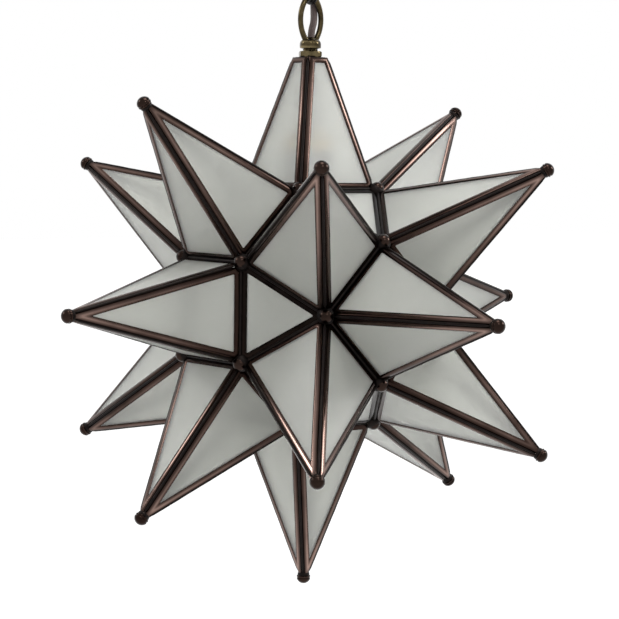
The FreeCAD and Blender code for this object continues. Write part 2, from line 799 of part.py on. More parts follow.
def hardware_nodes():
    """Every node of the hanger, the lampholder, the hinge, the canopy and the cord."""
    return {
        "top_plate": [pierced_plate()],
        "lock_nut": [hex_nut()],
        "threaded_tube": [threaded_tube()],
        "star_loop": [star_loop()],
        "chain_link": [chain_link()],
        "canopy_loop": [canopy_loop()],
        "screw_collar": [screw_collar()],
        "canopy": [canopy_shell()],
        "crossbar": [crossbar()],
        "lampholder_cap": [holder_cap()],
        "lampholder_body": [holder_body()],
        "lampholder_contacts": screw_shell(),
        "bulb_base": [bulb_base()],
        "bulb_glass": [bulb_glass()],
        "hinge_leaf_star": [star_leaf()],
        "hinge_leaf_hatch": [hatch_leaf()],
        "hinge_pin": [hinge_pin()],
        "hatch_catch": [spring_catch()],
        "cord_low": [cord_tube(cord_low_route, "cord_low")],
        "cord_high": [cord_tube(cord_high_route, "cord_high")],
    }


def write_nodes(nodes):
    """One STEP file for each node."""
    os.makedirs("parts", exist_ok=True)
    for name, solids in nodes.items():
        for solid in solids:
            if not solid.isValid() or solid.Volume <= 0:
                raise ValueError(f"{name} has a solid that isn't whole")
        shape = solids[0] if len(solids) == 1 else Part.makeCompound(solids)
        shape.exportStep(f"parts/{name}.step")


all_nodes = star_nodes()
all_nodes.update(hardware_nodes())
write_nodes(all_nodes)
print(f"{len(all_nodes)} nodes, star centre at {star_z:.2f} mm, hinge at {hinge_middle()},",
      f"canopy pivot {canopy_pivot:.2f}, link pivot {link_low:.2f}")
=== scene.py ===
"""Builds the visible model of a hanging glass star lamp round its measured frame."""
import json
import math

import bmesh
import bpy
from mathutils import Matrix, Vector
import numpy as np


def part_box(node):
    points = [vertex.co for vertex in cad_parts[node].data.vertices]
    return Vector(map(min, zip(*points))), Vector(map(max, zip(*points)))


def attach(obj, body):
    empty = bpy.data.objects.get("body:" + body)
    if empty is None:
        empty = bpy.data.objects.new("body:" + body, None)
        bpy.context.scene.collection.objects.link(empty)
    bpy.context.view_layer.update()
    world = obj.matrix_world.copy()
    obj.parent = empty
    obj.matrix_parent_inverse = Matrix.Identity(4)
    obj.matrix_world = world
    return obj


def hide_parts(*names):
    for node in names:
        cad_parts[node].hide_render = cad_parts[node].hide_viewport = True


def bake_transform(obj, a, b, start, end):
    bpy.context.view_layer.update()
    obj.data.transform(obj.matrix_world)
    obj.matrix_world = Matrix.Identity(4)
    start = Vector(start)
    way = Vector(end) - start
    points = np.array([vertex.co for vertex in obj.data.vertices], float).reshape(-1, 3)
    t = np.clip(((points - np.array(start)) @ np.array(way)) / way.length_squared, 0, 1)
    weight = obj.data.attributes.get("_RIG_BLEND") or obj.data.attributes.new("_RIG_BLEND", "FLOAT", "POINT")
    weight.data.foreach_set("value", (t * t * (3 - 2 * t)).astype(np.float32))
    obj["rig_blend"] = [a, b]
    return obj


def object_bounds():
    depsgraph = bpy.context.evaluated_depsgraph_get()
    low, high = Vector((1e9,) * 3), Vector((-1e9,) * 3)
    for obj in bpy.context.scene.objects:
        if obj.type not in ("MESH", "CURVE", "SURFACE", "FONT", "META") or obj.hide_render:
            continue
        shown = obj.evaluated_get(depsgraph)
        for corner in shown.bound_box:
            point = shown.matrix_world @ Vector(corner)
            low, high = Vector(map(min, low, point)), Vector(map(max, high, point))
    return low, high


bl_info = {
    "name": "Glass star pendant",
    "version": (1, 0, 0),
    "blender": (4, 5, 0),
    "location": "View3D > Sidebar > Star lamp",
    "description": "Makes the frames, panes, hanger and cord of a hanging glass star",
    "category": "Object",
}

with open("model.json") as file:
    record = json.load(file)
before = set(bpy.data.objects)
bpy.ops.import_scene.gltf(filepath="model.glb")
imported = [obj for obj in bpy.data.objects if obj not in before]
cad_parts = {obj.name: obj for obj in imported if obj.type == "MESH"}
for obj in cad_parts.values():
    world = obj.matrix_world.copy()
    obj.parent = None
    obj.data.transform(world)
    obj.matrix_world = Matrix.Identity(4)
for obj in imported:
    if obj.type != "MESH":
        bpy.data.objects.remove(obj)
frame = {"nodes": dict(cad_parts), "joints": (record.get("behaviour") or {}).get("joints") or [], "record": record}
cad_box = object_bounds()

MM = 0.001
JOINTS = {joint["name"]: joint for joint in frame["joints"]}
SIGNS = (1, -1)
GAP = 0.05 * MM                # from a solid to the plane between it and its neighbour
THREAD_BORE = 5.15 * MM        # radius of the holes round the lamp tube and the canopy's stem

# The star's centre is level with the middle of its right point.
RIGHT_LOW, RIGHT_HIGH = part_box("right_point_frames")
STAR_CENTRE = Vector((0, 0, (RIGHT_LOW[2] + RIGHT_HIGH[2]) / 2))

# Points of the cord's route, in metres, from the tube of the star up to the canopy.
CORD_LOW_ROUTE = [
    (0.0, 0.0, -0.1311), (0.0001, 0.0, -0.1152), (0.0033, 0.0005, -0.1076),
    (0.0059, 0.0044, -0.0986), (0.006, 0.0048, -0.0864), (0.0057, 0.0048, -0.07774),
]
CORD_HIGH_ROUTE = [
    (0.0057, 0.0048, -0.07774), (0.0054, 0.0048, -0.06908), (0.0056, 0.0044, -0.05688),
    (0.0033, 0.0005, -0.04788), (0.0001, 0.0, -0.04028), (0.0, 0.0, -0.02438),
]


# ---------------------------------------------------------------- settings

def length(name, default, words):
    """A length property, given in millimetres."""
    return bpy.props.FloatProperty(
        name=name, description=words, default=default * MM, unit="LENGTH", precision=4
    )


def colour(name, default, words):
    """A colour property, given as an sRGB hex value."""
    return bpy.props.FloatVectorProperty(
        name=name, description=words, default=linear(default)[:3], size=3, min=0, max=1, subtype="COLOR"
    )


def linear(hex_value):
    """An sRGB hex colour as linear red, green, blue and alpha."""
    parts = [int(hex_value[i:i + 2], 16) / 255 for i in (1, 3, 5)]
    return tuple(c / 12.92 if c <= 0.04045 else ((c + 0.055) / 1.055) ** 2.4 for c in parts) + (1.0,)


class StarSizes(bpy.types.PropertyGroup):
    """Sizes of the star and its hanger."""

    base_edge: length("Foot edge", 65.2, "Side of the square foot of a point")
    point_height: length("Point height", 118.4, "From a foot to where the outer faces would meet")
    tip_cut: length("Tip cut", 13.4, "Down a pane from there to the blunt end")
    top_height: length("Top point height", 124.1, "The same as the point height, on the steeper top point")
    top_cut: length("Top cut", 38.5, "Down a pane to the top point's open end")
    came_thickness: length("Frame depth", 2.6, "Channel frame across the pane")
    came_width: length("Frame width", 4.2, "How far the channel covers the pane")
    came_crown: length("Frame crown", 0.75, "How far the channel's round face falls to its outer edge")
    bead: length("Bead", 9.3, "Diameter of the joint beads and tip buttons")
    solder: length("Ridge solder", 1.9, "Diameter of the solder line in a ridge's groove")
    seam: length("Foot solder", 2.2, "Diameter of the solder line between two feet")
    loop_wire: length("Loop wire", 3.6, "Wire of the ring loops")
    link_wire: length("Link wire", 3.4, "Wire of the chain link")
    cord: length("Cord", 4.7, "Diameter of the lamp cord")


class StarColours(bpy.types.PropertyGroup):
    """Colours of the finishes."""

    bronze: colour("Bronze", "#261b17", "Oil-rubbed bronze of the frames")
    bronze_dark: colour("Dark bronze", "#1c1410", "Patina in the hollows")
    # This copper is also the painted highlight along the frames' crests, besides the places that rubbing has
    # bared.
    bronze_worn_and_highlight: colour("Worn bronze and painted highlight", "#a0867c", "Copper where the crests are rubbed")
    cast: colour("Cast bronze", "#1f1613", "Beads and buttons")
    cast_dark: colour("Dark cast bronze", "#120b09", "Patina on them")
    cast_worn: colour("Worn cast bronze", "#3d312b", "Where they are rubbed")
    # Painted shade: the triangles' frames are the same bronze as the points' frames, made darker for the shade
    # that falls in the star's hollows.
    recess: colour("Bronze in painted shade", "#14100e", "The frames of the triangles, which no cloth reaches")
    recess_dark: colour("Dark recessed bronze", "#0b0807", "Patina on them")
    glass: colour("Glass", "#f3f4ef", "Etched white glass")
    brass: colour("Brass", "#2f281a", "Antique brass of the hanger")
    brass_dark: colour("Dark brass", "#110c05", "Patina on the brass")
    brass_worn: colour("Worn brass", "#9c8d69", "Brass where it is rubbed")
    black: colour("Black steel", "#191514", "Blackened steel of the chain and canopy")
    cord: colour("Cord", "#6e5a55", "Braided sleeve of the cord")


# ---------------------------------------------------------------- modelling helpers

def deselect():
    """Leaves every object unselected."""
    if bpy.context.mode != "OBJECT":
        bpy.ops.object.mode_set(mode="OBJECT")
    bpy.ops.object.select_all(action="DESELECT")


def pick(piece):
    """Makes one object the only selected and the active one."""
    deselect()
    piece.select_set(True)
    bpy.context.view_layer.objects.active = piece


def nearest(place, points):
    """Which of some points is nearest to a place."""
    return min(range(len(points)), key=lambda i: (place - Vector(points[i])).length_squared)


def lofted(name, loops, closed=False, wear_and_highlight=None):
    """Extrudes a loop of edges through a list of loops, each with as many points.

    A closed loft ends on its first loop.  An open one is capped.  wear is a weight for each loop.
    """
    wear_and_highlight = wear_and_highlight or [0.0] * len(loops)
    deselect()
    bpy.ops.mesh.primitive_circle_add(vertices=len(loops[0]), radius=1, fill_type="NOTHING")
    piece = bpy.context.object
    piece.name = name
    bpy.ops.object.mode_set(mode="EDIT")
    bpy.ops.mesh.select_mode(type="VERT")
    bpy.ops.mesh.select_all(action="SELECT")
    mesh = bmesh.from_edit_mesh(piece.data)
    weight = mesh.verts.layers.float.new("wear_and_highlight")
    for vertex, point in zip(mesh.verts, loops[0]):
        vertex.co = point
        vertex[weight] = wear_and_highlight[0]
    bmesh.update_edit_mesh(piece.data)
    before = loops[0]
    end = 1 if closed else 0
    for loop, rubbed_and_highlit in zip(loops[1:] + loops[:end], wear_and_highlight[1:] + wear_and_highlight[:end]):
        bpy.ops.mesh.extrude_region()
        mesh = bmesh.from_edit_mesh(piece.data)
        weight = mesh.verts.layers.float["wear_and_highlight"]
        for vertex in [v for v in mesh.verts if v.select]:
            vertex.co = loop[nearest(vertex.co, before)]
            vertex[weight] = rubbed_and_highlit
        bmesh.update_edit_mesh(piece.data)
        before = loop
    bpy.ops.mesh.select_all(action="SELECT")
    bpy.ops.mesh.remove_doubles(threshold=1e-7)
    bpy.ops.mesh.fill_holes(sides=0)
    bpy.ops.mesh.normals_make_consistent(inside=False)
    bpy.ops.object.mode_set(mode="OBJECT")
    return piece


def turns(steps):
    """Angles evenly spaced round a full turn."""
    return [2 * math.pi * step / steps for step in range(steps)]


def circle(radius, height, steps):
    """Points round the Z axis, at one radius or at a radius worked out from each angle."""
    found = []
    for turn in turns(steps):
        reach = radius(turn) if callable(radius) else radius
        found.append(Vector((reach * math.cos(turn), reach * math.sin(turn), height)))
    return found


def turned(name, profile, steps=40, closed=False, wear_and_highlight=None):
    """A lathe-turned piece from (radius, height) pairs."""
    return lofted(name, [circle(radius, height, steps) for radius, height in profile], closed, wear_and_highlight)


def arc(middle, radius, start, end, steps):
    """(radius, height) pairs along an arc of a turned profile, angles in degrees from outwards."""
    angles = [math.radians(start + (end - start) * step / steps) for step in range(steps + 1)]
    return [(middle[0] + radius * math.cos(angle), middle[1] + radius * math.sin(angle)) for angle in angles]


def copied(piece, place):
    """A copy with its own mesh, moved by a matrix."""
    copy = bpy.data.objects.new(piece.name, piece.data.copy())
    bpy.context.collection.objects.link(copy)
    copy.data.transform(place)
    return copy


def set_on(pattern, spot):
    """A copy of a pattern at a spot, given from the star's middle, with its Z axis outwards."""
    place = spot.to_track_quat("Z", "Y").to_matrix().to_4x4()
    place.translation = spot + STAR_CENTRE
    return copied(pattern, place)


def joined(name, pieces):
    """Several objects as one."""
    pick(pieces[0])
    for piece in pieces[1:]:
        piece.select_set(True)
    if len(pieces) > 1:
        bpy.ops.object.join()
    pieces[0].name = name
    pieces[0].data.name = name
    return pieces[0]


def discard(*pieces):
    """Removes patterns that were only copied from."""
    for piece in pieces:
        bpy.data.objects.remove(piece, do_unlink=True)


def finished(piece, body, slot, material, *nodes, angle=35):
    """Gives a piece its finish, its body, and the nodes that it stands for."""
    pick(piece)
    bpy.ops.object.transform_apply(location=True, rotation=True, scale=True)
    bpy.ops.object.shade_smooth_by_angle(angle=math.radians(angle))
    piece.data.materials.clear()
    piece.data.materials.append(material)
    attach(piece, body)
    if nodes:
        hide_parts(*nodes)


def soldered(name, pieces, body="star_body", angle=60):
    """Joins lines, pools or plugs of solder into one finished piece."""
    finished(joined(name, pieces), body, "bronze", finishes()["solder"], angle=angle)


def repaint(node, material):
    """Gives a node of the frame that stays visible its finish."""
    shown = frame["nodes"][node]
    shown.data.materials.clear()
    shown.data.materials.append(material)


def body_of(node):
    """The body that a node belongs to."""
    bodies = frame["record"]["behaviour"]["bodies"]
    return next(body for body, nodes in bodies.items() if node in nodes)


# ---------------------------------------------------------------- the star's geometry

def corners(sizes):
    """The 24 corners of the star's core, from its middle."""
    half = sizes.base_edge / 2
    wide = 1 + math.sqrt(2)
    found = [Vector((x, y, z * wide)) for x in SIGNS for y in SIGNS for z in SIGNS]
    found += [Vector((x * wide, y, z)) for x in SIGNS for y in SIGNS for z in SIGNS]
    found += [Vector((x * math.sqrt(2), y * wide, 0)) for x in SIGNS for y in SIGNS]
    found += [Vector((0, y * wide, z * math.sqrt(2))) for y in SIGNS for z in SIGNS]
    return [point * half for point in found]


def axes():
    """The direction of each point of the star, by name."""
    found = {
        "top": (0, 0, 1), "bottom": (0, 0, -1), "right": (1, 0, 0),
        "left": (-1, 0, 0), "front": (0, -1, 0), "back": (0, 1, 0),
    }
    for tall, rise in (("upper", 1), ("lower", -1)):
        for side, across in (("right", 1), ("left", -1)):
            found[f"{tall}_{side}"] = (across, 0, rise)
            for face, deep in (("front", -1), ("back", 1)):
                found[f"{tall}_{face}_{side}"] = (across, deep * math.sqrt(2), rise)
    return {name: Vector(axis).normalized() for name, axis in found.items()}


def feet(sizes, axis, count):
    """The corners nearest to an axis, in order round it."""
    near = sorted(corners(sizes), key=lambda point: -point.dot(axis))[:count]
    first = near[0] - axis * near[0].dot(axis)
    second = axis.cross(first)
    return sorted(near, key=lambda point: math.atan2(point.dot(second), point.dot(first)))


def stood(start, end, summit):
    """The matrix that sets a pane's plane on a foot line, leaning to a summit."""
    middle = (start + end) / 2
    along = (end - start).normalized()
    up = (summit - middle).normalized()
    outward = along.cross(up)
    place = Matrix((along, up, outward)).transposed().to_4x4()
    place.translation = middle + STAR_CENTRE
    return place


def pairs_round(ring):
    """Each item of a closed ring with the next one."""
    return zip(ring, ring[1:] + ring[:1])


def from_lowest(outline):
    """The same closed outline, started at its lowest point."""
    first = min(range(len(outline)), key=lambda i: (round(outline[i][1], 7), outline[i][0]))
    return outline[first:] + outline[:first]


def cut_back(outline, direction, limit):
    """The part of a convex outline that lies no further than limit along a direction."""
    kept = []
    for start, end in pairs_round(outline):
        start_over = start[0] * direction[0] + start[1] * direction[1] - limit
        end_over = end[0] * direction[0] + end[1] * direction[1] - limit
        if start_over <= 0:
            kept.append(start)
        if start_over * end_over < 0:
            share = start_over / (start_over - end_over)
            kept.append((start[0] + share * (end[0] - start[0]), start[1] + share * (end[1] - start[1])))
    return from_lowest(kept)


class Pane:
    """The outlines of one shape of pane, with its foot along X and its middle along Y."""

    def __init__(self, sizes, height, side_inset, summit_cut):
        self.sizes = sizes
        self.half = sizes.base_edge / 2
        self.height = height
        self.side_inset = side_inset
        self.summit_cut = summit_cut
        self.corner_cut = sizes.bead / 2 + 2 * GAP

    def sides(self, inset):
        """The outline with its foot, sides and summit drawn in."""
        slope = math.hypot(self.height, self.half)
        reach = 2 * self.height
        outline = [(-reach, -reach), (reach, -reach), (reach, reach), (-reach, reach)]
        outline = cut_back(outline, (0, -1), -GAP - inset)
        outline = cut_back(outline, (0, 1), self.height - self.summit_cut - inset)
        for side in SIGNS:
            outward = (side * self.height / slope, self.half / slope)
            limit = self.half * self.height / slope - self.side_inset - inset
            outline = cut_back(outline, outward, limit)
        return outline

    def rim(self, inset):
        """The outside of the frame, six corners."""
        outline = self.sides(inset)
        half_angle = math.atan2(self.height, self.half) / 2
        for side in SIGNS:
            away = (side * math.cos(half_angle), -math.sin(half_angle))
            outline = cut_back(outline, away, self.half * math.cos(half_angle) - self.corner_cut - inset)
        return outline

    def window(self, inset, softening):
        """The inside of the frame, with its sharp corners drawn as two points each."""
        outline = self.sides(self.sizes.came_width - inset)
        soft = []
        for index, (x, y) in enumerate(outline):
            if len(outline) == 4 and y > self.height / 3:
                soft.append((x, y))
                continue
            for other in (outline[index - 1], outline[(index + 1) % len(outline)]):
                run = math.hypot(other[0] - x, other[1] - y)
                soft.append((x + (other[0] - x) * softening / run, y + (other[1] - y) * softening / run))
        return from_lowest(soft)


def channel(name, pane):
    """A folded channel frame with a round outer face, whose crest lies at height zero."""
    depth = pane.sizes.came_thickness
    crown = pane.sizes.came_crown
    window_crown = 0.6 * crown
    edge = 0.25 * MM
    softening = 0.5 * MM
    # The outer edges carry a little of the brighter copper: a painted highlight along them, with some rubbing.
    side_wear_and_highlight = 0.2
    rim = pane.rim(0)
    window = pane.window(0, softening)
    rows = [(pane.rim(edge), -depth, 0), (rim, -depth + edge, 0), (rim, -crown - edge, side_wear_and_highlight)]
    # Each row's last value weights the brighter copper. It peaks on the crest of each strip, as a painted
    # highlight where a lamp's glint would run, together with rubbing by hands and cloth.
    for across in (-0.93, -0.75, -0.45, 0.0, 0.45, 0.75, 0.93):        # from the rim to the window
        share = (1 + across) / 2
        outline = [
            (outer[0] + share * (inner[0] - outer[0]), outer[1] + share * (inner[1] - outer[1]))
            for outer, inner in zip(rim, window)
        ]
        fall = (crown if across < 0 else window_crown) * across ** 2
        rows.append((outline, -fall, (1 - abs(across)) ** 1.4))
    rows += [
        (window, -window_crown - edge, side_wear_and_highlight), (window, -depth + edge, 0),
        (pane.window(edge, softening), -depth, 0),
    ]
    loops = [[Vector((x, y, height)) for x, y in outline] for outline, height, _ in rows]
    piece = lofted(name, loops, closed=True, wear_and_highlight=[rubbed_and_highlit for _, _, rubbed_and_highlit in rows])
    worn_and_highlight_from = 0.5 * pane.height        # the crest's painted highlight and its rubbing fade from here down to the foot
    for vertex, rubbed_and_highlit in zip(piece.data.vertices, piece.data.attributes["wear_and_highlight"].data):
        rubbed_and_highlit.value *= min(1.0, max(0.0, vertex.co.y) / worn_and_highlight_from)
    return piece


def foot_distance(sizes):
    """From the star's middle to the foot of a point."""
    return sizes.base_edge / 2 * (1 + math.sqrt(2))


def point_summit(sizes, name, axis):
    """Where the outer faces of a point would meet."""
    return axis * (foot_distance(sizes) + (sizes.top_height if name == "top" else sizes.point_height))


def ridge_angle(sizes, rise):
    """The angle across a ridge, between two outer faces of a point that would be so high."""
    return math.pi - math.acos(math.sin(math.atan2(sizes.base_edge / 2, rise)) ** 2)


def star_panes(sizes):
    """The three shapes of pane: on a whole point, on the cut top point, and the flat triangle."""
    shapes = []
    for rise, cut in ((sizes.point_height, sizes.tip_cut), (sizes.top_height, sizes.top_cut)):
        inset = sizes.came_thickness / math.tan(ridge_angle(sizes, rise) / 2) + GAP
        shapes.append(Pane(sizes, math.hypot(rise, sizes.base_edge / 2), inset, cut))
    shapes.append(Pane(sizes, sizes.base_edge * math.sqrt(3) / 2, GAP, sizes.bead / 2 + 2 * GAP))
    return shapes


def triangle_axes():
    """The direction of each flat triangle."""
    found = [Vector((0, y, z * math.sqrt(2))) for y in SIGNS for z in SIGNS]
    found += [Vector((x * math.sqrt(2), y, 0)) for x in SIGNS for y in SIGNS]
    return [axis.normalized() for axis in found]


def foot_seams(sizes, hatch=False):
    """The lines where panes meet at their feet, or those of the bottom point that opens.

    Each has its two ends and the way out between the panes.
    """
    faces = [
        (start, end, point_summit(sizes, name, axis), name)
        for name, axis in axes().items() for start, end in pairs_round(feet(sizes, axis, 4))
    ]
    for axis in triangle_axes():
        ring = feet(sizes, axis, 3)
        faces += [(ring[turn], ring[turn - 2], ring[turn - 1], "triangle") for turn in range(3)]
    edges = {}
    for face in faces:
        middle = (face[0] + face[1]) / 2
        edges.setdefault(tuple(round(c, 5) + 0.0 for c in middle), []).append(face)
    seams = []
    for (start, end, summit, name), (_, _, other_summit, other) in edges.values():
        if hatch != ("bottom" in (name, other)):
            continue
        middle = (start + end) / 2
        outward = ((summit - middle).normalized() + (other_summit - middle).normalized()).normalized()
        seams.append((start, end, outward))
    return seams


# ---------------------------------------------------------------- materials

def feed(tree, node, inputs):
    """Sets a node's inputs, as values or as sockets to link."""
    for name, value in inputs.items():
        if isinstance(value, bpy.types.NodeSocket):
            tree.links.new(value, node.inputs[name])
        else:
            node.inputs[name].default_value = value


def add_node(tree, kind, inputs, **settings):
    """Adds a node with its inputs and its settings."""
    node = tree.nodes.new(kind)
    for name, value in settings.items():
        setattr(node, name, value)
    feed(tree, node, inputs)
    return node


def calculated(tree, operation, *values):
    """The result of a math node."""
    return add_node(tree, "ShaderNodeMath", dict(enumerate(values)), operation=operation).outputs[0]


def opaque(tint):
    """A colour with full alpha."""
    return tuple(tint)[:3] + (1.0,)


def ramp(tree, factor, stops):
    """A colour ramp through (place, colour) stops."""
    node = add_node(tree, "ShaderNodeValToRGB", {"Fac": factor})
    elements = node.color_ramp.elements
    while len(elements) < len(stops):
        elements.new(0.5)
    for element, (place, tint) in zip(elements, stops):
        element.position = place
        element.color = opaque(tint)
    return node.outputs["Color"]


def new_material(name):
    """An empty material with its shader, and the tree they are in."""
    material = bpy.data.materials.new(name)
    material.use_nodes = True
    tree = material.node_tree
    shader = next(node for node in tree.nodes if node.type == "BSDF_PRINCIPLED")
    return material, tree, shader


def noise(tree, size_mm, detail=4.0):
    """Noise on the object whose lumps are about a size in millimetres."""
    place = add_node(tree, "ShaderNodeTexCoord", {}).outputs["Object"]
    inputs = {"Vector": place, "Scale": 1 / (size_mm * MM), "Detail": detail, "Roughness": 0.55}
    return add_node(tree, "ShaderNodeTexNoise", inputs).outputs["Fac"]


def bump(tree, height, depth_mm, strength):
    """A bump of a real depth."""
    inputs = {"Height": height, "Distance": depth_mm * MM, "Strength": strength}
    return add_node(tree, "ShaderNodeBump", inputs).outputs["Normal"]


def spread(tree, value, low, high, from_low=0.3, from_high=0.7):
    """Maps a value from one range to another."""
    inputs = {"Value": value, "From Min": from_low, "From Max": from_high, "To Min": low, "To Max": high}
    return add_node(tree, "ShaderNodeMapRange", inputs).outputs["Result"]


def patinated(name, main, dark, worn_and_highlight, patch_mm, roughness, contrast=1.25):
    """A cast or folded metal with a chemical patina, brighter along its crests.

    To the eye: dark in soft patches, with a thin warmer line along the crests. That line is rubbing by hands and
    cloth, and on the frames it is also a painted highlight that stands for a lamp's glint.
    """
    material, tree, shader = new_material(name)
    patches = [(0.35, dark), (0.5, main), (0.7, [c * contrast for c in main])]
    # The crest weights bring in the brighter copper: rubbing, and on the frames a painted highlight.
    crest = add_node(tree, "ShaderNodeAttribute", {}, attribute_name="wear_and_highlight").outputs["Fac"]
    broken = spread(tree, noise(tree, 2.5 * patch_mm), 0.15, 0.85)
    share = calculated(tree, "MULTIPLY", crest, broken)
    mix = add_node(tree, "ShaderNodeMix", {"Factor": share}, data_type="RGBA")
    feed(tree, mix, {6: ramp(tree, noise(tree, patch_mm), patches), 7: opaque(worn_and_highlight)})        # its two colours
    feed(tree, shader, {
        "Base Color": mix.outputs[2],
        "Roughness": spread(tree, noise(tree, 0.9, detail=2.0), roughness * 0.75, roughness * 1.3),
        "Normal": bump(tree, noise(tree, 6.0), 0.04, 0.5),
        "Metallic": 1.0,
    })
    return material


def etched_glass(colours):
    """Flat glass etched white on its faces.

    To the eye: a soft white sheet that lets light through and shows what is behind only as blurs.
    """
    material, tree, shader = new_material("Etched white glass")
    cloud = [(0.3, [c * 0.95 for c in colours.glass]), (0.7, colours.glass)]
    feed(tree, shader, {
        "Base Color": ramp(tree, noise(tree, 45.0, detail=3.0), cloud),
        "Roughness": spread(tree, noise(tree, 12.0), 0.38, 0.44),
        "IOR": 1.45,
        "Transmission Weight": 0.75,
    })
    return material


def even_finish(name, dark, main, patch_mm, roughness, relief=None, main_at=0.7, **inputs):
    """A finish that drifts softly between two tones, as plating, lacquer and mouldings do.

    roughness is a number, or a size in millimetres and the two ends between which it drifts.  relief is
    the size, depth and strength of the bumps.
    """
    material, tree, shader = new_material(name)
    if isinstance(roughness, tuple):
        roughness = spread(tree, noise(tree, roughness[0]), *roughness[1:])
    if relief:
        inputs["Normal"] = bump(tree, noise(tree, relief[0]), *relief[1:])
    tone = ramp(tree, noise(tree, patch_mm), [(0.3, dark), (main_at, main)])
    feed(tree, shader, {"Base Color": tone, "Roughness": roughness, **inputs})
    return material


def braided_sleeve(colours):
    """Rayon braid over the cord's wires, crossing threads 0.6 mm apart.

    To the eye: a fine diamond weave with a silky sheen.  The UV map runs round and along the cord.
    """
    material, tree, shader = new_material("Braided rayon sleeve")
    place = add_node(tree, "ShaderNodeTexCoord", {}).outputs["UV"]
    around, along, _ = add_node(tree, "ShaderNodeSeparateXYZ", {0: place}).outputs
    threads = []
    for side in SIGNS:
        lean = calculated(tree, "ADD", calculated(tree, "MULTIPLY", around, side), along)
        threads.append(calculated(tree, "SINE", calculated(tree, "MULTIPLY", lean, 2 * math.pi)))
    height = spread(tree, calculated(tree, "MULTIPLY", *threads), 0.0, 1.0, -1.0, 1.0)
    # The low places of the weave are painted darker, as the shade between the threads.
    feed(tree, shader, {
        "Base Color": ramp(tree, height, [(0.25, [c * 0.35 for c in colours.cord]), (0.8, colours.cord)]),
        "Normal": bump(tree, height, 0.15, 0.8),
        "Roughness": 0.6,
        "Sheen Weight": 0.3,
    })
    return material


FINISHES = {}


def finishes():
    """Every material of the lamp, made once."""
    if "Etched white glass" in bpy.data.materials:
        return FINISHES
    look = bpy.context.scene.star_colours
    FINISHES.update(
        # On the frames the bright crest line is a painted highlight as well as rubbing.
        bronze=patinated("Oil-rubbed bronze", look.bronze, look.bronze_dark, look.bronze_worn_and_highlight, 22.0, 0.17),
        cast=patinated("Cast dark bronze", look.cast, look.cast_dark, look.cast_worn, 12.0, 0.16),
        # Painted shade: the points' bronze made darker for the triangles' frames, which sit deep in the star's
        # hollows.
        recess=patinated("Black bronze in painted shade", look.recess, look.recess_dark, look.cast, 12.0, 0.2),
        brass=patinated("Antique brass", look.brass, look.brass_dark, look.brass_worn, 5.0, 0.2, 2.4),
        glass=etched_glass(look),
        cord=braided_sleeve(look),
        # To the eye: nearly black, slightly lumpy and dull.
        solder=even_finish(
            "Blackened tin solder", linear("#0b0706"), linear("#1d1512"), 3.0, 0.45, (2.5, 0.06, 0.6), 0.75,
            Metallic=0.85,
        ),
        # To the eye: near black with a soft shine and a trace of brown.
        black=even_finish(
            "Black lacquered steel", linear("#0f0c0b"), look.black, 14.0, (1.5, 0.3, 0.45), (0.8, 0.02, 0.4),
            0.75, Metallic=0.5,
        ),
        # To the eye: bare metal with soft streaks in its shine.
        zinc=even_finish(
            "Zinc-plated steel", linear("#8f9394"), linear("#b9bcbd"), 9.0, (1.5, 0.32, 0.48),
            (1.0, 0.01, 0.4), Metallic=1.0,
        ),
        drawn=even_finish(
            "Drawn brass", linear("#a98a48"), linear("#cfae68"), 9.0, (1.5, 0.2, 0.3),
            (1.0, 0.01, 0.4), Metallic=1.0,
        ),
        # To the eye: black-brown, with a dull moulded skin.
        phenolic=even_finish(
            "Moulded phenolic", linear("#15100d"), linear("#231a15"), 6.0, 0.45, (0.6, 0.02, 0.3)
        ),
        # To the eye: milk white with a gloss.
        opal=even_finish(
            "Opal bulb glass", linear("#ecebe6"), linear("#f6f5f0"), 30.0, (5.0, 0.12, 0.2),
            **{"Transmission Weight": 0.2},
        ),
    )
    return FINISHES


# ---------------------------------------------------------------- operators

class STAR_OT_camera(bpy.types.Operator):
    """Sets the camera at the viewing angle of the reference picture"""

    bl_idname = "star.camera"
    bl_label = "Camera"

    def execute(self, context):
        turn, tilt, roll = (math.radians(angle) for angle in (38.0, 4.563, 0.754))
        aim = Vector((-1.676, 1278.62, 3.061)) * MM        # of the star's middle: right, ahead, up
        focal_pixels = 1900.0
        picture_width = 619.0
        view = Matrix.Rotation(roll, 3, "Y") @ Matrix.Rotation(tilt, 3, "X") @ Matrix.Rotation(turn, 3, "Z")
        data = bpy.data.cameras.new("camera")
        data.sensor_width = 36.0
        data.lens = data.sensor_width * focal_pixels / picture_width
        camera = bpy.data.objects.new("camera", data)
        context.collection.objects.link(camera)
        right, ahead, up = view
        place = Matrix((right, up, -ahead)).transposed().to_4x4()
        place.translation = STAR_CENTRE - view.transposed() @ aim
        camera.matrix_world = place
        context.scene.camera = camera
        return {"FINISHED"}


